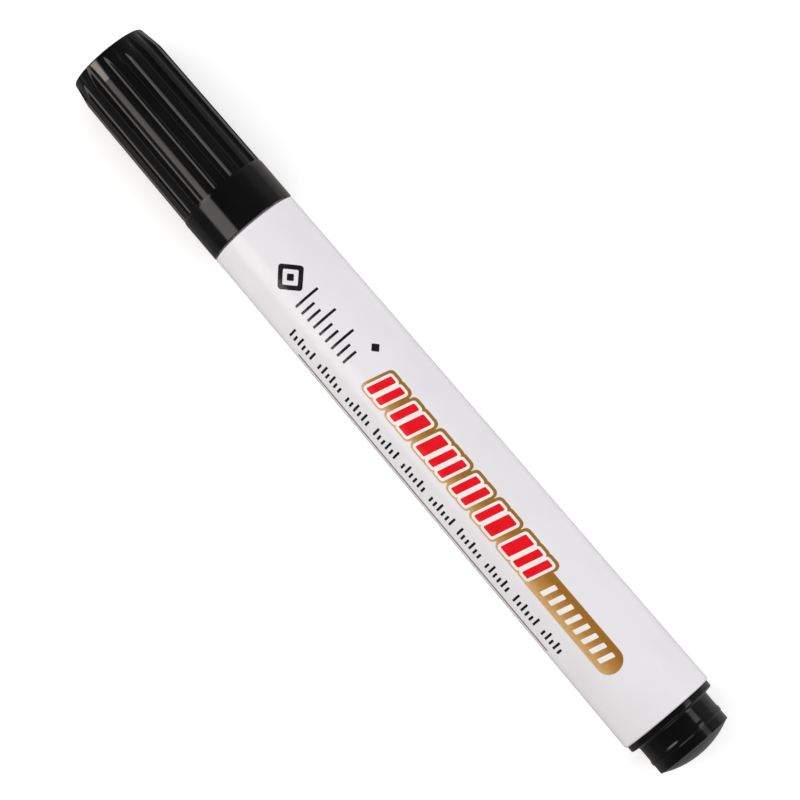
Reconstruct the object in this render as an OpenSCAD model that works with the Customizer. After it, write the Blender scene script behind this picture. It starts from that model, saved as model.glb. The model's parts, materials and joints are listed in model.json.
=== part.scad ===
// Whiteboard marker: a tapered barrel, a fluted push-on cap and a pressed-in tail plug,
// with the nib, its holder and the ink reservoir inside.
// The marker lies along X, its cap towards -X. It rests on Z = 0 on the barrel's rear rim.
// Stations are counted along the axis from the barrel's shoulder, where the cap stops:
// negative towards the nib, positive towards the tail.

/* [Barrel] */
// Length from the shoulder to the rear rim
barrel_len = 95.2; // [76:0.1:120]
// Growth in diameter from the shoulder to the rear rim
barrel_taper = 1.3; // [0.6:0.1:2.4]
// Wall of the barrel
barrel_wall = 1.05; // [0.8:0.05:1.3]
// Rounding of the rear rim
rim_round = 0.4; // [0.2:0.05:0.6]
// Number of ribs inside the barrel that hold the reservoir clear of the wall
rib_count = 6; // [3:1:10]
// Thickness of one inner rib
rib_w = 0.8; // [0.5:0.05:1.2]
// Height of an inner rib at the front end of the reservoir
rib_h = 0.6; // [0.3:0.05:1]

/* [Necks and snap beads] */
// Diameter of the two necks that the cap pushes onto, one at each end
neck_d = 12.9; // [10.7:0.1:16]
// Wall of the front neck
neck_wall = 1.45; // [1.1:0.05:1.6]
// Height of a snap bead above its neck
bead_h = 0.18; // [0.1:0.01:0.3]
// Width of a snap bead at its crest
bead_w = 0.6; // [0.4:0.05:0.8]
// Length of each sloping flank of a snap bead
bead_flank = 0.25; // [0.15:0.05:0.35]

/* [Cap] */
// Length from the mouth to the closed end
cap_len = 33.95; // [28.3:0.05:42]
// Length of the smooth collar at the mouth
collar_len = 7.2; // [6:0.1:9]
// Length of solid wall between the socket's floor and the flutes
socket_web = 0.65; // [0.5:0.05:1]
// Wall of the collar around its socket
collar_wall = 0.77; // [0.6:0.01:1.1]
// Height of the collar above the fluted grip
collar_step = 0.12; // [0.05:0.01:0.3]
// Loss of diameter along the grip, from the collar to the crown
grip_taper = 0.42; // [0.1:0.02:0.8]
// Length of the cone at the closed end
crown_len = 3.8; // [2.5:0.1:4.6]
// Loss of diameter along the crown
crown_taper = 1.68; // [1.2:0.02:2.1]
// Rounding of the edge of the closed end
end_round = 0.4; // [0.3:0.05:0.6]
// Number of flutes round the grip
flute_count = 16; // [10:1:18]
// Radius of the round-bottomed flutes
flute_r = 1.2; // [0.9:0.05:1.35]
// Depth of the flutes below the grip's lands
flute_depth = 0.55; // [0.35:0.05:0.7]
// Turn of the first flute about the axis, from the top
flute_turn = 8; // [0:0.5:22]
// Wall left under the flutes where the grip is narrowest
grip_wall = 0.95; // [0.8:0.05:1.2]
// Thickness of the closed end
end_wall = 1.3; // [1:0.1:2]

/* [Inner cap] */
// Wall of the inner cap
liner_wall = 0.7; // [0.5:0.05:0.9]
// Length of the sealing lip at its mouth
lip_len = 3; // [2:0.1:3.6]
// Height of the lip above the inner cap's wall
lip_h = 0.47; // [0.3:0.01:0.6]
// Step back of its mouth from the holder's flange
lip_gap = 1; // [0.5:0.1:1.5]
// Free length in front of the nib, inside the inner cap
nib_room = 5.6; // [4.5:0.1:6]
// Thickness of its closed end
liner_end = 0.7; // [0.5:0.1:1.2]

/* [Nib and holder] */
// Diameter of the nib
nib_d = 4.6; // [3.8:0.1:5.6]
// Length of nib that stands out of the holder
nib_out = 5.2; // [4:0.1:6.5]
// Length of the nib's bullet-shaped tip
nib_tip = 2.9; // [2:0.1:3.6]
// Length of nib held inside the reservoir
nib_in = 10.4; // [8:0.1:14]
// Length of the nose's straight part, which the inner cap seals on
nose_len = 5; // [4:0.1:6]
// Length of the nose's cone
nose_cone = 2.7; // [1.5:0.1:3.5]
// Wall of the nose round the nib, at its front face
nose_wall = 1; // [0.6:0.1:1.2]
// Thickness of the holder's flange
flange_t = 1; // [0.8:0.1:1.4]
// Length of the holder's sleeve behind the barrel's shoulder
sleeve_past = 3.8; // [3:0.1:5]
// Wall of that sleeve
sleeve_wall = 0.95; // [0.7:0.05:0.95]
// Number of air channels along the nib's bore
vent_count = 3; // [2:1:4]
// Width and depth of one air channel
vent_w = 0.6; // [0.4:0.05:0.8]

/* [Ink reservoir] */
// Thickness of the film wrapped round the core
film_t = 0.12; // [0.08:0.01:0.2]
// Length of bare core at each end of the film
core_bare = 1; // [0:0.5:3]

/* [Tail plug] */
// Step in from the barrel's rear rim to the plug's flange, on the radius
plug_inset = 0.35; // [0.2:0.05:0.6]
// Thickness of the plug's flange
plug_flange_t = 1.1; // [0.8:0.1:1.6]
// Length of the neck behind the flange
plug_neck_len = 5.1; // [4.6:0.1:6.2]
// Station of the bead's middle behind the flange
plug_bead_at = 3.2; // [2.6:0.1:3.5]
// Height of the domed end
plug_dome = 1.55; // [1:0.05:2]
// Length pressed into the barrel
plug_in = 8; // [6:0.1:10]
// Wall of the plug
plug_wall = 1; // [0.8:0.05:1.3]
// Number of fins inside the plug that bear on the reservoir
fin_count = 4; // [3:1:6]
// Thickness of one fin
fin_w = 0.8; // [0.6:0.1:1.2]

/* [Clearances] */
// Radial gap between a snap bead and the cap's socket
push_clear = 0.05; // [0.02:0.01:0.1]
// Radial gap between the sealing lip and the nose
seal_clear = 0.05; // [0.02:0.01:0.1]
// Gap between the cap's mouth and the barrel's shoulder
seat_gap = 0.25; // [0.1:0.05:0.5]
// Gap between the front neck and the floor of the cap's socket
neck_gap = 0.2; // [0.1:0.05:0.5]
// Step from the barrel's shoulder out to the collar, on the radius
shoulder_step = 0.05; // [0:0.01:0.15]
// Radial gap between pressed-together pieces
press_clear = 0.02; // [0.01:0.01:0.04]
// Radial gap between the holder's flange and the cap's bore as the cap comes off
pass_clear = 0.3; // [0.2:0.05:0.5]

/* [Hidden] */
$fn = 96;
eps = 0.01;

// Radii
neck_r = neck_d / 2;
bead_r = neck_r + bead_h;
socket_r = bead_r + push_clear;
collar_r = socket_r + collar_wall;
front_r = collar_r - shoulder_step;
rear_r = front_r + barrel_taper / 2;
grip_r = collar_r - collar_step;
grip_end_r = grip_r - grip_taper / 2;
crown_end_r = grip_end_r - crown_taper / 2;
flute_axis_r = grip_r - flute_depth + flute_r;
cap_bore_r = grip_end_r - flute_depth - grip_wall;
liner_r = cap_bore_r - press_clear;
liner_in_r = liner_r - liner_wall;
lip_r = liner_in_r - lip_h;
stop_r = cap_bore_r - liner_wall;
nose_r = lip_r - seal_clear;
neck_bore_r = neck_r - neck_wall;
sleeve_r = neck_bore_r - press_clear;
sleeve_in_r = sleeve_r - sleeve_wall;
holder_flange_r = cap_bore_r - pass_clear;
nib_r = nib_d / 2;
nib_bore_r = nib_r + press_clear;
plug_flange_r = rear_r - plug_inset;
plug_bore_r = neck_r - plug_wall;

// Stations along the axis
mouth_x = -seat_gap;
cap_end_x = mouth_x - cap_len;
collar_end_x = mouth_x - collar_len;
crown_x = cap_end_x + crown_len;
socket_x = collar_end_x + socket_web;
flange_back_x = socket_x + neck_gap;
flange_front_x = flange_back_x - flange_t;
nose_cone_x = flange_front_x - nose_len;
nose_front_x = nose_cone_x - nose_cone;
nib_end_x = nose_front_x - nib_out;
liner_floor_x = nib_end_x - nib_room;
liner_end_x = liner_floor_x - liner_end;
liner_mouth_x = flange_front_x - lip_gap;
core_x = sleeve_past;
plug_front_x = barrel_len - plug_in;
core_end_x = plug_front_x;
nib_back_x = core_x + nib_in;
plug_flange_x = barrel_len + plug_flange_t;
plug_corner_x = plug_flange_x + plug_neck_len;
tail_x = plug_corner_x + plug_dome;

// Slopes, and the radii that follow the barrel's sloping bore
barrel_slope = (rear_r - front_r) / (barrel_len - rim_round);
grip_slope = (grip_r - grip_end_r) / (collar_end_x - crown_x);
function bore_r(x) = front_r + barrel_slope * x - barrel_wall;
plug_sleeve_r = bore_r(plug_front_x) - press_clear;
rib_in_r = bore_r(core_x) - rib_h;
film_r = rib_in_r - press_clear;
film_in_r = film_r - film_t;
core_r = film_in_r - press_clear;

// Points of an arc of radius r round the point c, from angle a to angle b
function arc(c, r, a, b, steps = 6) = [for (i = [0 : steps])
    c + r * [cos(a + (b - a) * i / steps), sin(a + (b - a) * i / steps)]];

// Lays a piece modelled along Z onto the marker's axis, centred over the origin
module on_axis() {
    translate([-(cap_end_x + tail_x) / 2, 0, rear_r])
        rotate([0, 90, 0])
            children();
}

// Solid of revolution from points [radius, station]
module lathe(points) {
    rotate_extrude() polygon(points);
}

// Straight round bar between two stations
module bar(r, from, to) {
    translate([0, 0, from]) cylinder(r = r, h = to - from);
}

// Raised ring with sloping flanks round a neck, its middle at one station
module snap_bead(at) {
    lathe([
        [neck_r - neck_wall / 2, at - bead_w / 2 - bead_flank],
        [neck_r, at - bead_w / 2 - bead_flank],
        [bead_r, at - bead_w / 2],
        [bead_r, at + bead_w / 2],
        [neck_r, at + bead_w / 2 + bead_flank],
        [neck_r - neck_wall / 2, at + bead_w / 2 + bead_flank]
    ]);
}

// Outside of the cap: rounded end, crown cone, tapered grip, short ramp and straight collar
module cap_outline() {
    ramp = 0.5;
    edge_angle = atan((crown_taper / 2) / crown_len);
    mouth_bevel = 0.12;
    round_r = crown_end_r - end_round * (1 - sin(edge_angle)) / cos(edge_angle);
    lathe(concat(
        [[0, cap_end_x]],
        arc([round_r, cap_end_x + end_round], end_round, -90, -edge_angle),
        [
            [grip_end_r, crown_x],
            [grip_r, collar_end_x],
            [collar_r, collar_end_x + ramp],
            [collar_r, mouth_x - mouth_bevel],
            [collar_r - mouth_bevel, mouth_x],
            [0, mouth_x]
        ]
    ));
}

// One round-bottomed flute, sloping with the grip and open at the crown
module flute() {
    translate([flute_axis_r, 0, collar_end_x])
        rotate([0, atan(grip_slope), 0])
            translate([0, 0, -cap_len])
                cylinder(r = flute_r, h = cap_len);
}

// Fluted outer shell with a socket at the mouth and a stepped bore
module cap_shell() {
    color("#1b1b1d") on_axis() difference() {
        cap_outline();
        for (i = [0 : flute_count - 1])
            rotate(180 + flute_turn + i * 360 / flute_count) flute();
        bar(socket_r, socket_x, mouth_x + eps);
        bar(cap_bore_r, liner_end_x, mouth_x);
        bar(stop_r, cap_end_x + end_wall, mouth_x);
    }
}

// Cup inside the cap whose lip seals round the holder's nose
module inner_cap() {
    lip_lead = 0.4;
    color("#e8e6df") on_axis() lathe([
        [0, liner_end_x],
        [liner_r, liner_end_x],
        [liner_r, liner_mouth_x],
        [lip_r + lip_lead, liner_mouth_x],
        [lip_r, liner_mouth_x - lip_lead],
        [lip_r, liner_mouth_x - lip_len],
        [liner_in_r, liner_mouth_x - lip_len - lip_lead],
        [liner_in_r, liner_floor_x],
        [0, liner_floor_x]
    ]);
}

// Ribs inside the barrel, fused into its wall
module barrel_ribs() {
    rib_x = core_x + core_bare;
    rib_end_x = plug_front_x - core_bare;
    intersection() {
        lathe([
            [rib_in_r, rib_x],
            [bore_r(rib_x) + barrel_wall / 3, rib_x],
            [bore_r(rib_end_x) + barrel_wall / 3, rib_end_x],
            [rib_in_r, rib_end_x]
        ]);
        for (i = [0 : rib_count - 1])
            rotate(i * 360 / rib_count)
                translate([0, -rib_w / 2, 0])
                    cube([rear_r, rib_w, barrel_len]);
    }
}

// Tapered tube with the front neck and its shoulder
module barrel() {
    neck_lead = 0.3;
    shoulder_round = 0.15;
    inner_step = 1.2;
    color("#ecedf0") on_axis() {
        lathe(concat(
            [
                [neck_bore_r, flange_back_x],
                [neck_r - neck_lead, flange_back_x],
                [neck_r, flange_back_x + neck_lead],
                [neck_r, 0],
                [front_r - shoulder_round, 0],
                [front_r, shoulder_round]
            ],
            arc([rear_r - rim_round, barrel_len - rim_round], rim_round, 0, 90),
            [
                [bore_r(barrel_len), barrel_len],
                [bore_r(inner_step * 2), inner_step * 2],
                [neck_bore_r, inner_step]
            ]
        ));
        snap_bead(flange_back_x / 2);
        barrel_ribs();
    }
}

// Nose, flange and sleeve that hold the nib in the barrel's neck, with air channels
module nib_holder() {
    web_t = 1.6;
    tube_r = (nib_bore_r + vent_w + sleeve_in_r) / 2;
    tube_end_x = core_x - 3;
    color("#f2f1ec") on_axis() difference() {
        lathe([
            [0, nose_front_x],
            [nib_bore_r + nose_wall, nose_front_x],
            [nose_r, nose_cone_x],
            [nose_r, flange_front_x],
            [holder_flange_r, flange_front_x],
            [holder_flange_r, flange_back_x],
            [sleeve_r, flange_back_x],
            [sleeve_r, core_x],
            [sleeve_in_r, core_x],
            [sleeve_in_r, flange_back_x + web_t],
            [tube_r, flange_back_x + web_t],
            [tube_r, tube_end_x],
            [0, tube_end_x]
        ]);
        bar(nib_bore_r, nose_front_x - eps, tube_end_x + eps);
        for (i = [0 : vent_count - 1])
            rotate(i * 360 / vent_count)
                translate([0, -vent_w / 2, nose_front_x - eps])
                    cube([nib_bore_r + vent_w, vent_w, tube_end_x - nose_front_x + 2 * eps]);
    }
}

// Bullet nib: a fibre rod with an elliptical tip, its back end in the reservoir
module nib() {
    back_bevel = 0.4;
    tip_steps = 12;
    color("#26262a") on_axis() lathe(concat(
        [for (i = [0 : tip_steps]) [
            nib_r * sin(90 * i / tip_steps),
            nib_end_x + nib_tip * (1 - cos(90 * i / tip_steps))
        ]],
        [
            [nib_r, nib_back_x - back_bevel],
            [nib_r - back_bevel, nib_back_x],
            [0, nib_back_x]
        ]
    ));
}

// Fibre core that holds the ink, bored for the nib
module reservoir_core() {
    color("#2c2c33") on_axis() difference() {
        bar(core_r, core_x, core_end_x);
        bar(nib_bore_r, core_x - eps, nib_back_x);
    }
}

// Thin film wrapped round the core
module reservoir_film() {
    color("#cfd6dc") on_axis() difference() {
        bar(film_r, core_x + core_bare, core_end_x - core_bare);
        bar(film_in_r, core_x + core_bare - eps, core_end_x - core_bare + eps);
    }
}

// Sphere centred on the axis that meets the plug's corner circle and rises by the dome's height
module dome(r, corner_x, rise) {
    dome_r = (r * r + rise * rise) / (2 * rise);
    intersection() {
        translate([0, 0, corner_x + rise - dome_r]) sphere(r = dome_r);
        bar(r, corner_x - eps, corner_x + rise + eps);
    }
}

// Hollow plug with a flange on the barrel's rim, a neck for the cap and a domed end
module tail_plug() {
    flange_bevel = 0.25;
    corner_bevel = 0.15;
    bore_end_x = plug_corner_x - plug_wall / 2;
    fin_out_r = plug_bore_r + plug_wall / 2;
    color("#1b1b1d") on_axis() {
        difference() {
            union() {
                lathe([
                    [0, plug_front_x],
                    [plug_sleeve_r, plug_front_x],
                    [plug_sleeve_r, barrel_len],
                    [plug_flange_r, barrel_len],
                    [plug_flange_r, plug_flange_x - flange_bevel],
                    [plug_flange_r - flange_bevel, plug_flange_x],
                    [neck_r, plug_flange_x],
                    [neck_r, plug_corner_x - corner_bevel],
                    [neck_r - corner_bevel, plug_corner_x],
                    [0, plug_corner_x]
                ]);
                dome(neck_r - corner_bevel, plug_corner_x, plug_dome);
                snap_bead(plug_flange_x + plug_bead_at);
            }
            bar(plug_sleeve_r - plug_wall, plug_front_x - eps, barrel_len - plug_wall);
            bar(plug_bore_r, plug_front_x, bore_end_x);
        }
        for (i = [0 : fin_count - 1])
            rotate(45 + i * 360 / fin_count)
                translate([0, -fin_w / 2, plug_front_x])
                    cube([fin_out_r, fin_w, bore_end_x - plug_front_x + eps]);
    }
}

cap_shell();
inner_cap();
barrel();
nib_holder();
nib();
reservoir_core();
reservoir_film();
tail_plug();
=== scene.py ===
import json
import math

import bmesh
import bpy
from mathutils import Matrix, Vector
from mathutils.geometry import delaunay_2d_cdt


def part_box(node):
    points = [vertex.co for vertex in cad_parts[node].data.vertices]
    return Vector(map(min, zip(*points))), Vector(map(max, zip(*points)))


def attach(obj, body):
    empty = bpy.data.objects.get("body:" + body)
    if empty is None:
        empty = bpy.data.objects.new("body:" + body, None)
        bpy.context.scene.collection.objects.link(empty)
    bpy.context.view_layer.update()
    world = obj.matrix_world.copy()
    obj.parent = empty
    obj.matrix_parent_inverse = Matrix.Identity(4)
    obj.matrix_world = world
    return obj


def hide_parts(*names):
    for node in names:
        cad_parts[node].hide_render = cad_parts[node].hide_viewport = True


# Looks of a capped whiteboard marker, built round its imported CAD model.
# The marker lies along X with its cap towards -X. Sizes are in millimetres, as in the CAD model, and
# become metres when a mesh is made. Stations are counted along the axis from the barrel's shoulder,
# where the cap stops. An angle round the axis is 0 at the top and grows towards -Y.

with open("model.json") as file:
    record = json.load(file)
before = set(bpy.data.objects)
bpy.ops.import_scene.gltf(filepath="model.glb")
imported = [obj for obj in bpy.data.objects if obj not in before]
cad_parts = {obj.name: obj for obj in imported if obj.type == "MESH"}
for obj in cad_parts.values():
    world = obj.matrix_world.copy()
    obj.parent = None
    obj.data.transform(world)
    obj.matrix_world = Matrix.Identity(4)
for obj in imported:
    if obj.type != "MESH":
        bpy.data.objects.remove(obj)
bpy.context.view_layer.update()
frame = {"nodes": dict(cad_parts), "record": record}

MM = 0.001
SEAT_GAP = 0.25          # between the cap's mouth and the shoulder

axis_z = sum(corner.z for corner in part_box("barrel")) / 2
shoulder_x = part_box("cap_shell")[1].x + SEAT_GAP * MM


def extent(node):
    """First station, last station and largest radius of a round CAD node."""
    low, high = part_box(node)
    return (low.x - shoulder_x) / MM, (high.x - shoulder_x) / MM, (axis_z - low.z) / MM


neck_front, rear_rim, rear_r = extent("barrel")
cap_end, cap_mouth, collar_r = extent("cap_shell")
liner_end, liner_mouth, liner_r = extent("inner_cap")
nose_front, core_front, holder_flange_r = extent("nib_holder")    # the core starts at its back
nib_tip, nib_back, nib_r = extent("nib")
plug_front, tail_end, plug_flange_r = extent("tail_plug")

mounts = {mount["name"]: mount for mount in frame["record"]["mounts"]}
bead_r = mounts["tail_bead"]["dims"]["r_mm"]

BEAD_H = 0.18            # of a snap bead above its neck
PRESS_CLEAR = 0.02       # radial gap between pressed-together pieces
PUSH_CLEAR = 0.05        # radial gap between a snap bead and the cap's socket
SHOULDER_STEP = 0.05     # from the barrel's shoulder out to the collar
ON_AXIS = 1e-6           # a smaller radius is a point on the axis
neck_r = bead_r - BEAD_H
socket_r = bead_r + PUSH_CLEAR
front_r = collar_r - SHOULDER_STEP


# ---------------------------------------------------------------- outlines and round meshes

def to_frame(station, radius, angle):
    """Point of the frame at a station, a radius and an angle round the axis."""
    return Vector((
        shoulder_x + station * MM,
        -radius * math.sin(angle) * MM,
        axis_z + radius * math.cos(angle) * MM,
    ))


def corner_arc(before, corner, after, rounding, steps=6):
    """Points of the arc, of radius rounding, that rounds one corner of an outline."""
    to_before = (before - corner).normalized()
    to_after = (after - corner).normalized()
    half = to_before.angle(to_after) / 2
    tangent = rounding / math.tan(half)
    centre = corner + (to_before + to_after).normalized() * (rounding / math.sin(half))
    first = (corner + to_before * tangent - centre).normalized()
    last = (corner + to_after * tangent - centre).normalized()
    turn = first.angle(last)
    points = []
    for i in range(steps + 1):
        share = i / steps
        direction = first * math.sin((1 - share) * turn) + last * math.sin(share * turn)
        points.append(centre + direction * (rounding / math.sin(turn)))
    return points


def rounded(corners, closed=False, steps=6):
    """Points of an outline given as corners (along, across, rounding)."""
    places = [Vector(corner[:2]) for corner in corners]
    count = len(corners)
    points = []
    for i, (along, across, rounding) in enumerate(corners):
        at_end = not closed and i in (0, count - 1)
        if at_end or rounding == 0:
            points.append(places[i])
        else:
            points += corner_arc(places[i - 1], places[i], places[(i + 1) % count], rounding, steps)
    return points


def divided(points, step_at, hold=0.05):
    """The same outline with closer points: held near both ends of a stretch, and no further apart
    than step_at(station) between."""
    result = [points[0]]
    for start, end in zip(points, points[1:]):
        length = (end - start).length
        shares = []
        if length > 6 * hold:
            pieces = max(1, math.ceil(length / step_at((start.x + end.x) / 2)))
            inner = [i / pieces for i in range(1, pieces)]
            shares = sorted([hold / length, 1 - hold / length] + inner)
        result += [start.lerp(end, share) for share in shares] + [end]
    return result


def repeated_angles(count, turn_deg, spans):
    """Angles round the axis for a section that repeats. spans lists (end in degrees, steps) over half
    of one repeat, from its middle outwards."""
    half = [0.0]
    for end, steps in spans:
        start = half[-1]
        half += [start + (end - start) * (i + 1) / steps for i in range(steps)]
    one = [-angle for angle in reversed(half)] + half[1:-1]
    pitch = 360 / count
    return [math.radians(turn_deg + i * pitch + angle) for i in range(count) for angle in one]


def off_middle(angle, count, turn_deg):
    """How far an angle is from the middle of the nearest repeat."""
    pitch = 2 * math.pi / count
    past = (angle - math.radians(turn_deg)) % pitch
    return min(past, pitch - past)


def join_rings(bm, ring, following):
    """Faces between two rings of vertices. A ring of one vertex is a point on the axis."""
    count = max(len(ring), len(following))
    for i in range(count):
        j = (i + 1) % count
        if len(ring) == 1:
            bm.faces.new((ring[0], following[i], following[j]))
        elif len(following) == 1:
            bm.faces.new((ring[i], following[0], ring[j]))
        else:
            bm.faces.new((ring[i], following[i], following[j], ring[j]))


def piece_from(bm, name, body, look, sharp_deg=35):
    """Turns a bmesh into a smooth piece that rides on a body, with edges sharper than sharp_deg
    kept sharp."""
    bmesh.ops.recalc_face_normals(bm, faces=bm.faces)
    mesh = bpy.data.meshes.new(name)
    bm.to_mesh(mesh)
    bm.free()
    mesh.shade_smooth()
    mesh.set_sharp_from_angle(angle=math.radians(sharp_deg))
    mesh.materials.append(look)
    piece = bpy.data.objects.new(name, mesh)
    bpy.context.scene.collection.objects.link(piece)
    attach(piece, body)
    return piece


def revolved(outline, angles, radius_at=None, closed=False):
    """Bmesh of an outline turned round the axis. radius_at(station, radius, angle) may change a
    radius."""
    bm = bmesh.new()
    rings = []
    for station, radius in outline:
        if radius < ON_AXIS:
            rings.append([bm.verts.new(to_frame(station, 0, 0))])
            continue
        radii = [radius_at(station, radius, angle) if radius_at else radius for angle in angles]
        rings.append([bm.verts.new(to_frame(station, r, a)) for r, a in zip(radii, angles)])
    following = rings[1:] + rings[:1] if closed else rings[1:]
    for ring, next_ring in zip(rings, following):
        join_rings(bm, ring, next_ring)
    return bm


def even_angles(count):
    return [2 * math.pi * i / count for i in range(count)]


def soft_min(a, b, blend):
    """The smaller of two values, with the change from one to the other rounded."""
    overlap = max(blend - abs(a - b), 0) / blend
    return min(a, b) - overlap * overlap * blend / 4


def smooth(share):
    share = min(1.0, max(0.0, share))
    return share * share * (3 - 2 * share)


# ---------------------------------------------------------------- materials

class Look:
    """A Principled material with the few kinds of node that the marker's finishes use. Coordinates
    are the object's own, in metres, so sizes here are real ones."""

    def __init__(self, name):
        self.material = bpy.data.materials.new(name)
        self.material.use_nodes = True
        self.nodes = self.material.node_tree.nodes
        self.links = self.material.node_tree.links
        self.shader = next(n for n in self.nodes if n.type == "BSDF_PRINCIPLED")
        self.place = self.nodes.new("ShaderNodeTexCoord").outputs["Object"]

    def set(self, **values):
        """Constants on the shader's own sockets, named with underscores for spaces."""
        for name, value in values.items():
            self.shader.inputs[name.replace("_", " ")].default_value = value

    def drive(self, socket, source):
        self.links.new(source, self.shader.inputs[socket])

    def noise(self, size, stretch=1.0, detail=3.0, distortion=0.0):
        """Noise with features of a size in millimetres, drawn out along the marker by stretch."""
        mapping = self.nodes.new("ShaderNodeMapping")
        mapping.inputs["Scale"].default_value = (1 / stretch, 1, 1)
        self.links.new(self.place, mapping.inputs["Vector"])
        noise = self.nodes.new("ShaderNodeTexNoise")
        noise.inputs["Scale"].default_value = 1 / (size * MM)
        noise.inputs["Detail"].default_value = detail
        noise.inputs["Distortion"].default_value = distortion
        self.links.new(mapping.outputs["Vector"], noise.inputs["Vector"])
        return noise.outputs["Fac"]

    def across(self, start, end):
        """0 to 1 over the frame's Y from start to end, in millimetres."""
        split = self.nodes.new("ShaderNodeSeparateXYZ")
        self.links.new(self.place, split.inputs["Vector"])
        return self.mapped(split.outputs["Y"], 0, 1, start * MM, end * MM)

    def mapped(self, source, low, high, source_low=0.3, source_high=0.7):
        """Spreads a value over low to high. Noise mostly lies between 0.3 and 0.7."""
        node = self.nodes.new("ShaderNodeMapRange")
        node.inputs["From Min"].default_value = source_low
        node.inputs["From Max"].default_value = source_high
        node.inputs["To Min"].default_value = low
        node.inputs["To Max"].default_value = high
        self.links.new(source, node.inputs["Value"])
        return node.outputs["Result"]

    def math(self, operation, a, b):
        node = self.nodes.new("ShaderNodeMath")
        node.operation = operation
        for socket, value in zip(node.inputs, (a, b)):
            if isinstance(value, (int, float)):
                socket.default_value = value
            else:
                self.links.new(value, socket)
        return node.outputs["Value"]

    def ramp(self, source, *stops):
        """Colour along stops (position, (red, green, blue))."""
        node = self.nodes.new("ShaderNodeValToRGB")
        elements = node.color_ramp.elements
        while len(elements) < len(stops):
            elements.new(0.5)
        for element, (position, colour) in zip(elements, stops):
            element.position = position
            element.color = (*colour, 1)
        self.links.new(source, node.inputs["Fac"])
        return node.outputs["Color"]

    def bump(self, height, depth, under=None):
        """Bump whose full height is a depth in millimetres."""
        node = self.nodes.new("ShaderNodeBump")
        node.inputs["Distance"].default_value = depth * MM
        self.links.new(height, node.inputs["Height"])
        if under:
            self.links.new(under, node.inputs["Normal"])
        return node.outputs["Normal"]


def moulded(name, dark, light, rough_low, rough_high, peel=0.003, marks=0.04):
    """Injection-moulded plastic: a faint mottle, an orange-peel skin peel millimetres deep, and fine
    lengthwise draw marks from the mould and a few handling scuffs, which roughen the gloss by marks."""
    look = Look(name)
    mottle = look.noise(9.0, detail=3.0)
    look.drive("Base Color", look.ramp(mottle, (0.35, dark), (0.65, light)))
    skin = look.mapped(look.noise(3.0, detail=2.0), rough_low, rough_high)
    draw_marks = look.mapped(look.noise(0.16, stretch=60.0, detail=2.0), 0.0, marks, 0.52, 0.75)
    grazes = look.noise(1.1, stretch=2.5, detail=5.0, distortion=1.2)
    scuffs = look.mapped(grazes, 0.0, marks, 0.62, 0.78)
    look.drive("Roughness", look.math("ADD", skin, look.math("ADD", draw_marks, scuffs)))
    coarse = look.bump(look.noise(3.2, detail=1.0), peel)
    fine = look.bump(look.noise(0.3, stretch=4.0, detail=2.0), peel * 0.1, under=coarse)
    look.drive("Normal", fine)
    look.set(IOR=1.49)
    return look


def black_plastic():
    dark = (0.0030, 0.0030, 0.0032)
    light = (0.0046, 0.0045, 0.0047)
    return moulded("black_gloss_plastic", dark, light, 0.09, 0.15).material


def white_plastic():
    dark = (0.805, 0.790, 0.820)
    light = (0.830, 0.816, 0.846)
    return moulded("white_gloss_plastic", dark, light, 0.20, 0.24, peel=0.0012, marks=0.012).material


def natural_plastic():
    look = moulded("natural_plastic", (0.74, 0.73, 0.68), (0.81, 0.80, 0.76), 0.34, 0.46, peel=0.004)
    look.set(Subsurface_Weight=0.25, Subsurface_Scale=0.0006)
    return look.material


def ink(name, dark, light):
    """Printed ink film: slightly uneven cover, with the grain of the print in colour and gloss."""
    look = Look(name)
    cover = look.noise(1.6, detail=5.0)
    grain = look.noise(0.35, detail=2.0)
    both = look.math("ADD", look.math("MULTIPLY", cover, 0.65), look.math("MULTIPLY", grain, 0.35))
    look.drive("Base Color", look.ramp(both, (0.38, dark), (0.62, light)))
    look.drive("Roughness", look.mapped(grain, 0.17, 0.25))
    look.drive("Normal", look.bump(grain, 0.0012))
    look.set(IOR=1.5)
    return look


def black_ink():
    return ink("ink_black", (0.006, 0.006, 0.008), (0.016, 0.016, 0.020)).material


def red_ink():
    look = ink("ink_red", (0.77, 0.0005, 0.008), (0.85, 0.002, 0.011))
    look.set(Specular_IOR_Level=0.2)
    return look.material


def white_ink():
    return ink("ink_white", (0.86, 0.83, 0.81), (0.91, 0.89, 0.87)).material


def gold_ink():
    """Gold-brown ink, printed dark along its top edge and fading to a pale gold along its foot."""
    look = ink("ink_gold", (0.30, 0.13, 0.024), (0.36, 0.165, 0.035))
    fade = look.across(2.3, -3.6)
    grain = look.mapped(look.noise(0.5, detail=4.0), -0.05, 0.05)
    share = look.math("ADD", fade, grain)
    colour = look.ramp(
        share,
        (0.05, (0.33, 0.155, 0.015)),
        (0.40, (0.345, 0.138, 0.010)),
        (0.72, (0.50, 0.235, 0.055)),
        (0.97, (0.66, 0.40, 0.16)),
    )
    look.drive("Base Color", colour)
    return look.material


def dull_gold_ink():
    return ink("ink_dull_gold", (0.20, 0.125, 0.085), (0.27, 0.18, 0.13)).material


def felt(name, dark, light, thread):
    """Bonded fibres, thread millimetres thick, that run along the axis, rough and faintly fluffy."""
    look = Look(name)
    fibres = look.noise(thread, stretch=14.0, detail=5.0)
    clumps = look.noise(1.4, stretch=3.0, detail=3.0)
    both = look.math("ADD", look.math("MULTIPLY", fibres, 0.7), look.math("MULTIPLY", clumps, 0.3))
    look.drive("Base Color", look.ramp(both, (0.36, dark), (0.64, light)))
    look.drive("Roughness", look.mapped(fibres, 0.70, 0.95))
    look.drive("Normal", look.bump(fibres, 0.05, under=look.bump(clumps, 0.06)))
    look.set(Sheen_Weight=0.1, Sheen_Roughness=0.5)
    return look.material


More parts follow.
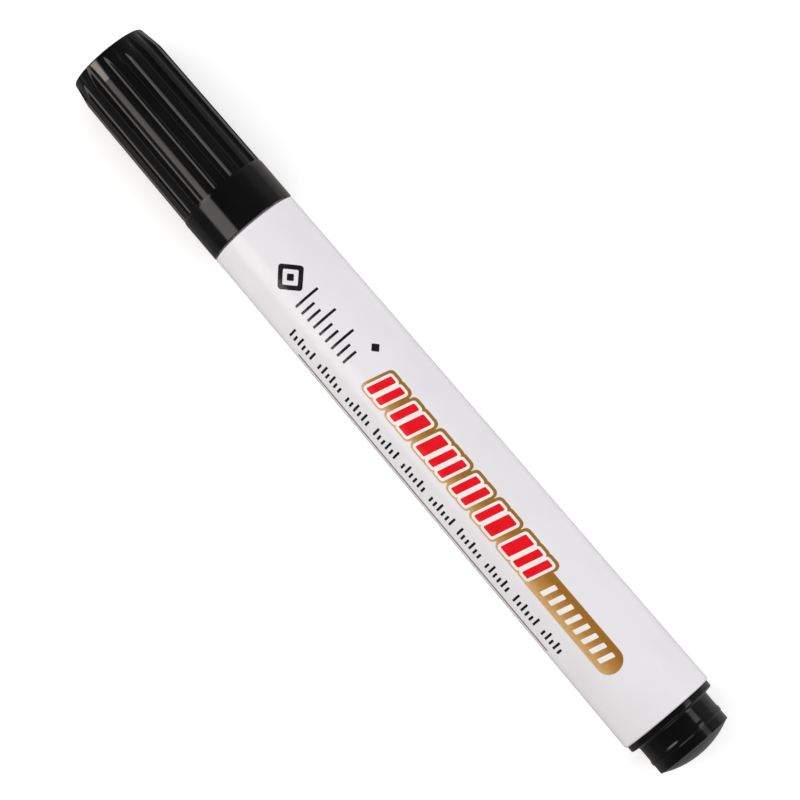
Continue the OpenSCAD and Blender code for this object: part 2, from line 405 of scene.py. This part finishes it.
def film():
    """Clear film wound round the reservoir, with fine lengthwise wrinkles."""
    look = Look("clear_film")
    wrinkles = look.noise(0.7, stretch=12.0, detail=4.0)
    look.drive("Base Color", look.ramp(wrinkles, (0.35, (0.60, 0.63, 0.66)), (0.65, (0.76, 0.79, 0.82))))
    look.drive("Roughness", look.mapped(wrinkles, 0.12, 0.30))
    look.drive("Normal", look.bump(wrinkles, 0.04))
    look.set(Transmission_Weight=0.35, IOR=1.48)
    return look.material


def light_table():
    """Pale translucent table top, lit a little from below so that shadows on it stay faint."""
    look = Look("light_table")
    tone = look.noise(60.0, detail=3.0)
    tooth = look.noise(0.8, detail=4.0)
    look.drive("Base Color", look.ramp(tone, (0.3, (0.78, 0.78, 0.783)), (0.7, (0.80, 0.80, 0.803))))
    look.drive("Roughness", look.mapped(tooth, 0.75, 0.9))
    look.drive("Normal", look.bump(tooth, 0.01))
    look.set(Specular_IOR_Level=0.1, Emission_Color=(1, 1, 1, 1), Emission_Strength=0.42)
    return look.material


LOOKS = {
    "black_plastic": black_plastic(),
    "white_plastic": white_plastic(),
    "natural_plastic": natural_plastic(),
    "nib_fibre": felt("nib_fibre", (0.006, 0.006, 0.008), (0.028, 0.028, 0.034), 0.09),
    "reservoir_fibre": felt("reservoir_fibre", (0.012, 0.012, 0.016), (0.05, 0.05, 0.06), 0.14),
    "clear_film": film(),
    "print_black": black_ink(),
    "print_red": red_ink(),
    "print_white": white_ink(),
    "print_gold": gold_ink(),
}


# ---------------------------------------------------------------- cap shell

COLLAR_LEN = 7.2
COLLAR_RAMP = 0.42       # length of the ramp from the grip up to the collar
COLLAR_STEP = 0.12       # height of the collar above the grip
GRIP_TAPER = 0.21        # loss of radius along the grip
CROWN_LEN = 3.8
CROWN_TAPER = 0.64       # loss of radius along the crown
FLUTES = 16
FLUTE_TURN = 7.2         # degrees from the top to the first flute
FLUTE_R = 0.95
FLUTE_DEPTH = 0.54
FLUTE_EDGE = 0.15        # width over which a land turns into a flute
FLUTE_STOP = 0.14        # length over which a flute ends at the collar
SOCKET_WEB = 0.65        # wall between the socket's floor and the flutes
CAP_END_WALL = 1.3
LINER_WALL = 0.7

collar_end = cap_mouth - COLLAR_LEN
crown_start = cap_end + CROWN_LEN
grip_r = collar_r - COLLAR_STEP
grip_end_r = grip_r - GRIP_TAPER
crown_end_r = grip_end_r - CROWN_TAPER
grip_slope = GRIP_TAPER / (collar_end - crown_start)
cap_bore_r = liner_r + PRESS_CLEAR
socket_floor = collar_end + SOCKET_WEB


def fluted_radius(station, radius, angle):
    """Radius of the grip and crown with the flutes cut in. The bore and the collar stay round."""
    if radius <= cap_bore_r or station >= collar_end:
        return radius
    off = off_middle(angle, FLUTES, FLUTE_TURN)
    flute_axis_r = grip_r - FLUTE_DEPTH + FLUTE_R - grip_slope * (collar_end - station)
    sideways = flute_axis_r * math.sin(off)
    if sideways >= FLUTE_R:
        return radius
    floor_r = flute_axis_r * math.cos(off) - math.sqrt(FLUTE_R ** 2 - sideways ** 2)
    cut_r = soft_min(radius, floor_r, FLUTE_EDGE)
    return radius + (cut_r - radius) * smooth((collar_end - station) / FLUTE_STOP)


def cap_shell():
    gate_r = 0.9             # of the round gate mark in the middle of the end
    gate_depth = 0.12
    close_rings = 0.1        # spacing over the crown, where the flutes run out
    wide_rings = 3.0         # spacing elsewhere
    stop_steps = 6           # rings over the length where a flute ends
    stop_r = cap_bore_r - LINER_WALL
    inside_end = cap_end + CAP_END_WALL
    outline = rounded([
        (cap_end + gate_depth, 0, 0),
        (cap_end + gate_depth, gate_r, 0.05),
        (cap_end, gate_r + gate_depth, 0.05),
        (cap_end, crown_end_r, 0.32),
        (crown_start, grip_end_r, 0.6),
        (collar_end, grip_r, 0.08),
        (collar_end + COLLAR_RAMP, collar_r, 0.25),
        (cap_mouth, collar_r, 0.12),
        (cap_mouth, socket_r, 0.12),
        (socket_floor, socket_r, 0.15),
        (socket_floor, cap_bore_r, 0.12),
        (liner_end, cap_bore_r, 0.05),
        (liner_end, stop_r, 0.08),
        (inside_end, stop_r, 0.5),
        (inside_end, 0, 0),
    ])

    def ring_step(station):
        return close_rings if station < crown_start + 1 else wide_rings

    outline = divided(outline, ring_step)
    stop_rings = []
    for i in range(stop_steps + 2, 0, -1):
        to_collar = FLUTE_STOP * i / stop_steps
        stop_rings.append(Vector((collar_end - to_collar, grip_r - grip_slope * to_collar)))
    # The stop rings go in after the last point of the grip that comes before them, and take the
    # place of the points from there to the collar.
    on_grip_r = cap_bore_r + 1
    before_ramp = max(
        i for i, point in enumerate(outline)
        if point.x < stop_rings[0].x and point.y > on_grip_r
    )
    outline[before_ramp + 1:before_ramp + 1] = stop_rings
    outline = [
        point for i, point in enumerate(outline)
        if i <= before_ramp + len(stop_rings) or point.x >= collar_end or point.y <= socket_r
    ]
    flute_spans = [(5.4, 12), (8.6, 16), (11.25, 4)]    # floor and side, edge, half of a land
    angles = repeated_angles(FLUTES, FLUTE_TURN, flute_spans)
    bm = revolved(outline, angles, fluted_radius)
    look = LOOKS["black_plastic"]
    piece = piece_from(bm, "cap_shell_moulding", "cap", look, sharp_deg=50)
    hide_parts("cap_shell")


# ---------------------------------------------------------------- pieces inside the cap

def inner_cap():
    lip_h = 0.47
    lip_len = 3.0
    lip_lead = 0.4
    end_wall = 0.7
    inside_r = liner_r - LINER_WALL
    lip_r = inside_r - lip_h
    outline = rounded([
        (liner_end, 0, 0),
        (liner_end, liner_r, 0.25),
        (liner_mouth, liner_r, 0.12),
        (liner_mouth, lip_r + lip_lead, 0.12),
        (liner_mouth - lip_lead, lip_r, 0.15),
        (liner_mouth - lip_len, lip_r, 0.2),
        (liner_mouth - lip_len - lip_lead, inside_r, 0.2),
        (liner_end + end_wall, inside_r, 0.5),
        (liner_end + end_wall, 0, 0),
    ])
    bm = revolved(divided(outline, lambda station: 4.0), even_angles(144))
    piece = piece_from(bm, "inner_cap_cup", "cap", LOOKS["natural_plastic"])
    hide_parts("inner_cap")


# ---------------------------------------------------------------- pieces at the front of the barrel

NIB_BORE_R = nib_r + PRESS_CLEAR
VENTS = 3
VENT_TURN = 60           # degrees from the top to the first air channel
VENT_W = 0.6             # width and depth of an air channel


def vented_radius(station, radius, angle):
    """Radius of the holder with the air channels cut into its bore."""
    off = off_middle(angle, VENTS, VENT_TURN)
    at_bore = abs(radius - NIB_BORE_R) < 0.05
    if at_bore and NIB_BORE_R * math.sin(off) < VENT_W / 2:
        return (NIB_BORE_R + VENT_W) / math.cos(off)
    return radius


def nib_holder():
    nose_wall = 1.0
    nose_cone = 2.7
    flange_t = 1.0
    web_t = 1.6
    sleeve_wall = 0.95
    tube_back = 3.0          # from the tube's end to the reservoir
    nose_r = 4.38
    sleeve_r = 4.98
    sleeve_in_r = sleeve_r - sleeve_wall
    tube_r = (NIB_BORE_R + VENT_W + sleeve_in_r) / 2
    web_back = neck_front + web_t
    tube_end = core_front - tube_back
    outline = rounded([
        (nose_front, NIB_BORE_R, 0),
        (nose_front, NIB_BORE_R + nose_wall, 0.25),
        (nose_front + nose_cone, nose_r, 0.6),
        (neck_front - flange_t, nose_r, 0.2),
        (neck_front - flange_t, holder_flange_r, 0.15),
        (neck_front, holder_flange_r, 0.12),
        (neck_front, sleeve_r, 0.05),
        (core_front, sleeve_r, 0.2),
        (core_front, sleeve_in_r, 0.1),
        (web_back, sleeve_in_r, 0.2),
        (web_back, tube_r, 0.2),
        (tube_end, tube_r, 0.1),
        (tube_end, NIB_BORE_R, 0),
    ], closed=True)
    outline = divided(outline + outline[:1], lambda station: 3.0)[:-1]
    vent_spans = [(6.9, 4), (7.5, 1), (60, 24)]    # channel, its wall, bore up to the next
    bm = revolved(outline, repeated_angles(VENTS, VENT_TURN, vent_spans), vented_radius, closed=True)
    piece = piece_from(bm, "nib_holder_moulding", "barrel", LOOKS["natural_plastic"])
    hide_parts("nib_holder")


def nib():
    tip_len = 2.9
    tip_steps = 20
    back_bevel = 0.4
    tip = []
    for i in range(tip_steps + 1):
        turn = math.pi / 2 * i / tip_steps
        tip.append(Vector((nib_tip + tip_len * (1 - math.cos(turn)), nib_r * math.sin(turn))))
    back = rounded([
        (nib_tip + tip_len, nib_r, 0),
        (nib_back - back_bevel, nib_r, 0.1),
        (nib_back, nib_r - back_bevel, 0.1),
        (nib_back, 0, 0),
    ])
    bm = revolved(tip + divided(back, lambda station: 2.0)[1:], even_angles(96))
    piece = piece_from(bm, "nib_rod", "barrel", LOOKS["nib_fibre"])
    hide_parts("nib")


# ---------------------------------------------------------------- barrel

RIM_ROUND = 0.4
BARREL_WALL = 1.05
RIBS = 6
RIB_W = 0.8
RIB_H = 0.6
CORE_BARE = 1.0          # from each end of the reservoir to the ribs
barrel_slope = (rear_r - front_r) / (rear_rim - RIM_ROUND)
rib_in_r = front_r + barrel_slope * core_front - BARREL_WALL - RIB_H
rib_start = core_front + CORE_BARE
rib_end = plug_front - CORE_BARE


def barrel_radius(station):
    return front_r + barrel_slope * min(station, rear_rim - RIM_ROUND)


def ribbed_radius(station, radius, angle):
    """Radius of the barrel with the ribs raised from its bore."""
    off = off_middle(angle, RIBS, 0)
    in_bore = rib_in_r < radius < barrel_radius(station) - BARREL_WALL / 2
    if in_bore and rib_start < station < rib_end and radius * math.sin(off) < RIB_W / 2:
        return rib_in_r
    return radius


def snap_bead(middle, height):
    """Corners of a snap bead on a neck, its middle at one station."""
    half = 0.28
    flank = 0.24
    top_r = neck_r + height
    return [
        (middle - half - flank, neck_r, 0.2),
        (middle - half, top_r, 0.35),
        (middle + half, top_r, 0.35),
        (middle + half + flank, neck_r, 0.2),
    ]


def barrel():
    neck_bore_r = 5.0
    neck_lead = 0.3
    inner_step = 1.2
    rib_wall = 0.03          # length over which a rib rises at its ends

    def bore_r(station):
        return front_r + barrel_slope * station - BARREL_WALL

    outline = rounded([
        (neck_front, neck_bore_r, 0.1),
        (neck_front, neck_r - neck_lead, 0.1),
        (neck_front + neck_lead, neck_r, 0.1),
        *snap_bead(neck_front / 2, BEAD_H),
        (0, neck_r, 0.1),
        (0, front_r, 0.15),
        (rear_rim, rear_r, RIM_ROUND),
        (rear_rim, bore_r(rear_rim), 0.1),
        (rib_end + rib_wall, bore_r(rib_end), 0),
        (rib_end - rib_wall, bore_r(rib_end), 0),
        (rib_start + rib_wall, bore_r(rib_start), 0),
        (rib_start - rib_wall, bore_r(rib_start), 0),
        (inner_step * 2, bore_r(inner_step * 2), 0.2),
        (inner_step, neck_bore_r, 0.2),
    ], closed=True)
    outline = divided(outline + outline[:1], lambda station: 4.0)[:-1]
    rib_spans = [(3.5, 2), (3.9, 1), (30, 16)]    # rib, its flank, bore up to the next
    bm = revolved(outline, repeated_angles(RIBS, 0, rib_spans), ribbed_radius, closed=True)
    piece = piece_from(bm, "barrel_tube", "barrel", LOOKS["white_plastic"])
    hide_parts("barrel")


# ---------------------------------------------------------------- tail plug

def tail_plug():
    flange_t = 1.1
    neck_len = 5.1
    bead_at = 3.15
    bead_h = 0.12
    corner_lip = 0.02        # the neck widens a little at its last edge
    corner_round = 0.16
    dome_inset = 0.1         # from the neck's radius to the dome's
    wall = 1.0
    bore_r = neck_r - wall
    sleeve_r = front_r + barrel_slope * plug_front - BARREL_WALL - PRESS_CLEAR
    flange_x = rear_rim + flange_t
    corner_x = flange_x + neck_len
    dome_rise = tail_end - corner_x
    dome_edge_r = neck_r - dome_inset
    sphere_r = (dome_edge_r ** 2 + dome_rise ** 2) / (2 * dome_rise)
    dome_turn = math.asin(dome_edge_r / sphere_r)
    dome_steps = 24
    bore_end = corner_x - wall / 2
    on_dome = (corner_x + 0.35, dome_edge_r * 0.955, 0)    # only gives the last rounding its direction
    body = rounded([
        (bore_end, 0, 0),
        (bore_end, bore_r, 0.4),
        (rear_rim - wall, bore_r, 0.15),
        (rear_rim - wall, sleeve_r - wall, 0.2),
        (plug_front, sleeve_r - wall, 0.1),
        (plug_front, sleeve_r, 0.3),
        (rear_rim, sleeve_r, 0.05),
        (rear_rim, plug_flange_r, 0.08),
        (flange_x, plug_flange_r, 0.3),
        (flange_x, neck_r, 0.4),
        *snap_bead(flange_x + bead_at, bead_h),
        (corner_x, neck_r + corner_lip, corner_round),
        on_dome,
    ], steps=8)[:-1]
    dome = []
    for i in range(1, dome_steps + 1):
        turn = dome_turn * (1 - i / dome_steps)
        along = tail_end - sphere_r * (1 - math.cos(turn))
        dome.append(Vector((along, sphere_r * math.sin(turn))))
    dome[-1].y = 0
    outline = divided(body, lambda station: 3.0) + dome
    bm = revolved(outline, even_angles(192))
    add_fins(bm, bore_r + wall / 2, bore_end)
    piece = piece_from(bm, "tail_plug_moulding", "barrel", LOOKS["black_plastic"])
    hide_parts("tail_plug")


def add_fins(bm, reach, fins_end):
    """Two crossed plates inside the plug that bear on the reservoir."""
    half_w = 0.4
    for turn_deg in (45, 135):
        turn = math.radians(turn_deg)
        out = Vector((0, -math.sin(turn), math.cos(turn))) * reach * MM
        side = Vector((0, math.cos(turn), math.sin(turn))) * half_w * MM
        ends = [to_frame(station, 0, 0) for station in (plug_front, fins_end)]
        loops = []
        for end in ends:
            corners = [end + out + side, end + out - side, end - out - side, end - out + side]
            loops.append([bm.verts.new(corner) for corner in corners])
        for i in range(4):
            j = (i + 1) % 4
            bm.faces.new((loops[0][i], loops[0][j], loops[1][j], loops[1][i]))
        bm.faces.new(loops[0])
        bm.faces.new(loops[1])


# ---------------------------------------------------------------- printed decoration
# Shapes are drawn on the barrel unrolled: a station along it and an arc round it, counted from the
# top towards -Y. They are plain bars, ticks and diamonds.

PRINT_R = 7.75           # radius at which the arcs are measured
SLANT = 0.26             # lean of the slanted bars, along per arc
FILM_UNDER = 0.010       # depth of a film's underside below the barrel's skin
FILM_TOP = {             # height above the skin, so that a later ink covers an earlier one
    "print_gold": 0.012,
    "print_white": 0.020,
    "print_red": 0.028,
    "print_black": 0.014,
}


def slanted_bar(station, arc, width, height, grow=0.0, corner=0.2):
    """Loop round a leaning bar with its foot at one station, moved outwards by grow. The sides move a
    little further, and the corners grow rounder with it."""
    lean = SLANT * (height + 2 * grow)
    left = station - grow * 1.1
    right = station + width + grow * 1.1
    top = arc - grow
    foot = arc + height + grow
    shift = SLANT * grow
    rounding = corner + grow * 0.8
    return rounded([
        (left - shift, foot, rounding),
        (right - shift, foot, rounding),
        (right - shift + lean, top, rounding),
        (left - shift + lean, top, rounding),
    ], closed=True, steps=5)


def straight_bar(station, arc, width, height, corner=0.1):
    return rounded([
        (station, arc, corner),
        (station + width, arc, corner),
        (station + width, arc + height, corner),
        (station, arc + height, corner),
    ], closed=True, steps=4)


def diamond(station, arc, reach, corner):
    return rounded([
        (station - reach, arc, corner),
        (station, arc - reach, corner),
        (station + reach, arc, corner),
        (station, arc + reach, corner),
    ], closed=True, steps=5)


def is_inside(point, loop):
    """Even-odd test of a point against a closed loop."""
    inside = False
    for a, b in zip(loop, loop[1:] + loop[:1]):
        if (a.y > point.y) != (b.y > point.y):
            crossing = a.x + (point.y - a.y) * (b.x - a.x) / (b.y - a.y)
            if point.x < crossing:
                inside = not inside
    return inside


def close_loop_points(loop, step):
    """A loop with points no further apart than step."""
    points = []
    for a, b in zip(loop, loop[1:] + loop[:1]):
        pieces = max(1, math.ceil((b - a).length / step))
        points += [a.lerp(b, i / pieces) for i in range(pieces)]
    return points


def flat_fill(loops, holes, step=0.45, weld=1e-5):
    """Small triangles over the union of the loops, less the holes, on the unrolled barrel. Points
    closer together than weld become one."""
    points = []
    edges = []
    for loop in loops + holes:
        ring = close_loop_points(loop, step)
        first = len(points)
        points += ring
        edges += [(first + i, first + (i + 1) % len(ring)) for i in range(len(ring))]
    low = Vector((min(p.x for p in points), min(p.y for p in points)))
    high = Vector((max(p.x for p in points), max(p.y for p in points)))
    span_x = high.x - low.x
    span_y = high.y - low.y
    rows = max(1, int(span_y / step))
    columns = max(1, int(span_x / step))
    for i in range(1, rows):
        for j in range(1, columns):
            share_x = (j + 0.5 * (i % 2)) / columns
            points.append(Vector((low.x + span_x * share_x, low.y + span_y * i / rows)))
    places, _, faces, _, _, _ = delaunay_2d_cdt(points, edges, [], 0, weld)
    kept = []
    for face in faces:
        middle = sum((places[i] for i in face), Vector((0, 0))) / len(face)
        if any(is_inside(middle, loop) for loop in loops):
            if not any(is_inside(middle, hole) for hole in holes):
                kept.append(face)
    return places, kept


def printed(name, slot, loops, holes=()):
    """Thin solid film of ink over the loops, less the holes, that hugs the barrel."""
    places, faces = flat_fill(list(loops), list(holes))
    bm = bmesh.new()
    layers = []
    for lift in (FILM_TOP[slot], -FILM_UNDER):
        layer = {}
        for i in {i for face in faces for i in face}:
            station, arc = places[i]
            layer[i] = bm.verts.new(to_frame(station, barrel_radius(station) + lift, arc / PRINT_R))
        layers.append(layer)
    top, under = layers
    sides = {}
    for face in faces:
        bm.faces.new([top[i] for i in face])
        bm.faces.new([under[i] for i in reversed(face)])
        for a, b in zip(face, face[1:] + face[:1]):
            key = (min(a, b), max(a, b))
            sides[key] = None if key in sides else (a, b)
    for side in filter(None, sides.values()):
        a, b = side
        bm.faces.new((top[b], top[a], under[a], under[b]))
    return piece_from(bm, name, "barrel", LOOKS[slot], sharp_deg=30)


def emblem():
    """A plain diamond ring round a small diamond, and one more small diamond behind the ticks."""
    station = 9.95
    arc = 0.6
    reach = 2.75
    stroke = 1.05
    ring = diamond(station, arc, reach, corner=0.5)
    hole = diamond(station, arc, reach - stroke, corner=0.2)
    core = diamond(station, arc, 0.75, corner=0.12)
    behind = diamond(26.1, -2.35, 0.85, corner=0.15)
    printed("print_emblem", "print_black", [ring], [hole])
    printed("print_emblem_core", "print_black", [core])
    printed("print_small_diamond", "print_black", [behind])


def gauge_ticks():
    """A row of fine upright ticks, every third one tall."""
    count = 9
    first = 13.6
    pitch = 1.36
    foot = 3.0
    width = 0.42
    tall = 4.55
    short = 2.7
    loops = []
    for i in range(count):
        height = tall if i % 3 == 0 else short
        loops.append(straight_bar(first + i * pitch, foot - height, width, height, corner=0.08))
    printed("print_ticks", "print_black", loops)


def slanted_band():
    """Red leaning bars in groups, each with a white rim, on a gold ground that rises behind them."""
    first = 29.75
    arc = -1.3
    height = 4.15
    red_corner = 0.22
    rim_corner = 0.25
    slim = 1.3
    wide = 2.0
    groups = ((slim, slim), (slim, wide), (wide, slim, slim))
    group_count = 6
    gap = 0.8                # between the bars of a group
    group_gap = 1.9
    white_rim = 0.42
    gold_rim = 0.40
    gold_rise = 0.12
    red, white, gold = [], [], []
    station = first
    for i in range(group_count):
        for width in groups[i % len(groups)]:
            place = (station, arc, width, height)
            raised = (station, arc - gold_rise, width, height)
            red.append(slanted_bar(*place, 0, red_corner))
            white.append(slanted_bar(*place, white_rim, rim_corner))
            gold.append(slanted_bar(*raised, white_rim + gold_rim, rim_corner))
            station += width + gap
        station += group_gap - gap
    ground = slanted_bar(first, arc, station - group_gap - first, height, grow=-0.2, corner=0.1)
    printed("print_band_gold", "print_gold", gold + [ground])
    printed("print_band_white", "print_white", white)
    printed("print_band_red", "print_red", red)


def gold_tab():
    """Gold tab with a round end behind the band, with white leaning bars."""
    start = 67.9
    end = 85.6
    arc = -0.72
    height = 4.35
    end_round = height * 0.49
    bar_count = 8
    first_bar = 69.3
    bar_pitch = 1.85
    bar_arc = 0.3
    bar_w = 0.85
    bar_h = 2.4
    loop = rounded([
        (start, arc, 0),
        (end, arc, end_round),
        (end, arc + height, end_round),
        (start - SLANT * height, arc + height, 0),
    ], closed=True, steps=12)
    printed("print_tab", "print_gold", [loop])
    bars = [
        slanted_bar(first_bar + i * bar_pitch, bar_arc, bar_w, bar_h, corner=0.12)
        for i in range(bar_count)
    ]
    printed("print_tab_bars", "print_white", bars)


def fine_ticks():
    """A long row of small ticks of two heights, in groups."""
    first = 16.0
    last = 79.2
    pitch = 0.92
    width = 0.40
    foot = 7.65
    tall = 1.95
    short = 1.3
    group = 7                # every seventh place is left free
    loops = []
    for i in range(int((last - first) / pitch)):
        if i % group == group - 1:
            continue
        is_tall = (i * 5) % 8 < 3    # three in eight, in an uneven order
        height = tall if is_tall else short
        loops.append(straight_bar(first + i * pitch, foot - height, width, height, corner=0.06))
    printed("print_fine_ticks", "print_black", loops)


def gold_line():
    """A thin dull line along the barrel, below the ticks."""
    start = 19.0
    arc = 9.35
    length = 57.6
    width = 0.5
    line = printed("print_line", "print_gold", [straight_bar(start, arc, length, width)])
    line.data.materials[0] = dull_gold_ink()


# ---------------------------------------------------------------- camera, floor and light

CAMERA_HEIGHT = 0.580    # above the marker's axis
CAMERA_PAST = 0.0399     # the camera's place along X
AIM_X = -0.0005          # where it looks on the axis
CAMERA_LENS = 174.8
PICTURE_TURN = 49.65     # degrees from the picture's horizontal down to the marker's axis


def make_camera():
    camera = bpy.data.objects.new("camera", bpy.data.cameras.new("camera"))
    camera.data.lens = CAMERA_LENS
    camera.data.clip_start = 0.01
    place = Vector((CAMERA_PAST, 0, axis_z + CAMERA_HEIGHT))
    back = (place - Vector((AIM_X, 0, axis_z))).normalized()
    turn = math.radians(PICTURE_TURN)
    up = Vector((-math.sin(turn), math.cos(turn), 0))
    right = up.cross(back).normalized()
    up = back.cross(right)
    rotation = Matrix((right, up, back)).transposed()
    camera.matrix_world = Matrix.Translation(place) @ rotation.to_4x4()
    bpy.context.scene.collection.objects.link(camera)
    bpy.context.scene.camera = camera


def make_floor():
    half_side = 6.0
    steps = 24
    ticks = [half_side * (2 * i / steps - 1) for i in range(steps + 1)]
    bm = bmesh.new()
    grid = [[bm.verts.new((x, y, 0)) for y in ticks] for x in ticks]
    for i in range(steps):
        for j in range(steps):
            bm.faces.new((grid[i][j], grid[i + 1][j], grid[i + 1][j + 1], grid[i][j + 1]))
    mesh = bpy.data.meshes.new("floor")
    bm.to_mesh(mesh)
    bm.free()
    mesh.materials.append(light_table())
    floor = bpy.data.objects.new("floor", mesh)
    floor.visible_glossy = False
    bpy.context.scene.collection.objects.link(floor)


def softbox(name, start, end, tilt_deg, spread_deg, radiance, colour, soft_end=0.0):
    """Rectangular lamp along X from start to end, that faces the marker's axis. It is tilted from the
    vertical towards -Y, and spread_deg is the angle across it as the marker sees it. soft_end is the
    share of its length over which it fades at the -X end."""
    distance = 0.60          # from the axis
    tilt = math.radians(tilt_deg)
    back = Vector((0, -math.sin(tilt), math.cos(tilt)))
    across = Vector((0, math.cos(tilt), math.sin(tilt)))
    place = Vector(((start + end) / 2, 0, axis_z)) + back * distance
    lamp = bpy.data.lights.new(name, "AREA")
    lamp.shape = "RECTANGLE"
    lamp.size = end - start
    lamp.size_y = 2 * distance * math.tan(math.radians(spread_deg) / 2)
    lamp.energy = radiance * math.pi * lamp.size * lamp.size_y
    lamp.color = colour
    soften(lamp, soft_end)
    rotation = Matrix((Vector((1, 0, 0)), across, back)).transposed()
    return add_lamp(lamp, Matrix.Translation(place) @ rotation.to_4x4())


def soften(lamp, soft_end):
    """Lets the cloth of a softbox glow a little less at its long edges and fade at its -X end."""
    lamp.use_nodes = True
    nodes = lamp.node_tree.nodes
    links = lamp.node_tree.links
    emission = next(n for n in nodes if n.type == "EMISSION")
    place = nodes.new("ShaderNodeNewGeometry")
    split = nodes.new("ShaderNodeSeparateXYZ")
    links.new(place.outputs["Parametric"], split.inputs["Vector"])
    across = nodes.new("ShaderNodeValToRGB")
    along = nodes.new("ShaderNodeValToRGB")
    shade(across, [(0.0, 0.75), (0.12, 1.0), (0.88, 1.0), (1.0, 0.75)])
    shade(along, [(0.0, 0.0 if soft_end else 1.0), (max(soft_end, 0.01), 1.0)])
    links.new(split.outputs["Y"], across.inputs["Fac"])
    links.new(split.outputs["X"], along.inputs["Fac"])
    both = nodes.new("ShaderNodeMath")
    both.operation = "MULTIPLY"
    links.new(across.outputs["Color"], both.inputs[0])
    links.new(along.outputs["Color"], both.inputs[1])
    links.new(both.outputs["Value"], emission.inputs["Strength"])


def shade(ramp, tones, tint=(1, 1, 1)):
    """Sets a colour ramp's stops to grey tones, each times a tint."""
    elements = ramp.color_ramp.elements
    while len(elements) < len(tones):
        elements.new(0.5)
    for element, (position, tone) in zip(elements, tones):
        element.position = position
        element.color = (tone * tint[0], tone * tint[1], tone * tint[2], 1)


def wide_fill(name, tilt_deg, spread_deg, level):
    """Very wide, even light, tilted from the vertical towards -Y, too broad to show as a reflection.
    level is what it adds to a white surface that faces it."""
    lamp = bpy.data.lights.new(name, "SUN")
    lamp.angle = math.radians(spread_deg)
    lamp.energy = level * math.pi
    holder = add_lamp(lamp, Matrix.Rotation(math.radians(tilt_deg), 4, "X"))
    holder.visible_glossy = False


def add_lamp(lamp, matrix):
    holder = bpy.data.objects.new(lamp.name, lamp)
    holder.matrix_world = matrix
    holder.visible_camera = False
    bpy.context.scene.collection.objects.link(holder)
    return holder


def make_world():
    """The studio round the table: dim above, paler at the walls and palest below, darker on the -Y
    side and brighter beyond the tail. The camera sees a plain white behind everything."""
    world = bpy.data.worlds.new("studio")
    world.use_nodes = True
    nodes = world.node_tree.nodes
    links = world.node_tree.links
    background = next(n for n in nodes if n.type == "BACKGROUND")
    place = nodes.new("ShaderNodeTexCoord")
    split = nodes.new("ShaderNodeSeparateXYZ")
    links.new(place.outputs["Generated"], split.inputs["Vector"])

    def spread_over(direction, start, end, low, high):
        """low to high as one part of the direction looked in goes from start to end."""
        node = nodes.new("ShaderNodeMapRange")
        node.inputs["From Min"].default_value = start
        node.inputs["From Max"].default_value = end
        node.inputs["To Min"].default_value = low
        node.inputs["To Max"].default_value = high
        links.new(split.outputs[direction], node.inputs["Value"])
        return node.outputs["Result"]

    ramp = nodes.new("ShaderNodeValToRGB")
    tones = [(0.0, 0.42), (0.35, 0.48), (0.38, 0.27), (0.62, 0.26), (0.72, 0.14), (0.90, 0.07)]
    shade(ramp, tones, (1.0, 0.96, 0.94))
    links.new(spread_over("Z", -1, 1, 0, 1), ramp.inputs["Fac"])

    level = nodes.new("ShaderNodeMath")
    level.operation = "MULTIPLY"
    links.new(spread_over("Y", -0.3, 0.7, 0.42, 1.0), level.inputs[0])
    links.new(spread_over("X", 0.3, 0.9, 1.0, 1.7), level.inputs[1])
    links.new(level.outputs["Value"], background.inputs["Strength"])

    path = nodes.new("ShaderNodeLightPath")
    seen = nodes.new("ShaderNodeBackground")
    seen.inputs["Color"].default_value = (0.98, 0.98, 0.982, 1)
    choice = nodes.new("ShaderNodeMixShader")
    output = next(n for n in nodes if n.type == "OUTPUT_WORLD")
    links.new(ramp.outputs["Color"], background.inputs["Color"])
    links.new(path.outputs["Is Camera Ray"], choice.inputs[0])
    links.new(background.outputs["Background"], choice.inputs[1])
    links.new(seen.outputs["Background"], choice.inputs[2])
    links.new(choice.outputs["Shader"], output.inputs["Surface"])
    bpy.context.scene.world = world


def make_lights():
    warm = (1.0, 0.95, 0.91)
    warmer = (1.0, 0.84, 0.72)
    cool = (0.95, 0.97, 1.0)
    # start, end, tilt, spread, radiance, colour
    softbox("key_stripe", -1.10, -0.02, 49.5, 36, 2.35, warm, soft_end=0.2)
    crown_glow = softbox("crown_glow", -0.445, -0.365, 45, 22, 5.2, warmer)
    softbox("tail_glint", 0.086, 0.60, -51.0, 17, 2.3, cool)
    tail_fill = softbox("tail_fill", 0.45, 1.20, 10, 60, 0.9, cool)
    for gloss_only in (crown_glow, tail_fill):
        gloss_only.visible_diffuse = False
    wide_fill("fill_top", 0, 80, 0.17)
    wide_fill("fill_minus_y", 25, 90, 0.19)
    wide_fill("fill_plus_y", -25, 90, 0.32)
    wide_fill("fill_low", -75, 90, 0.12)


# ---------------------------------------------------------------- the whole marker

make_camera()
cap_shell()
inner_cap()
nib_holder()
nib()
barrel()
tail_plug()
emblem()
gauge_ticks()
slanted_band()
gold_tab()
fine_ticks()
gold_line()
for node_name, slot_name in (("reservoir_core", "reservoir_fibre"), ("reservoir_film", "clear_film")):
    node = frame["nodes"][node_name]
    node.data.materials.clear()
    node.data.materials.append(LOOKS[slot_name])
make_floor()
make_world()
make_lights()
bpy.context.scene.view_settings.view_transform = "Standard"
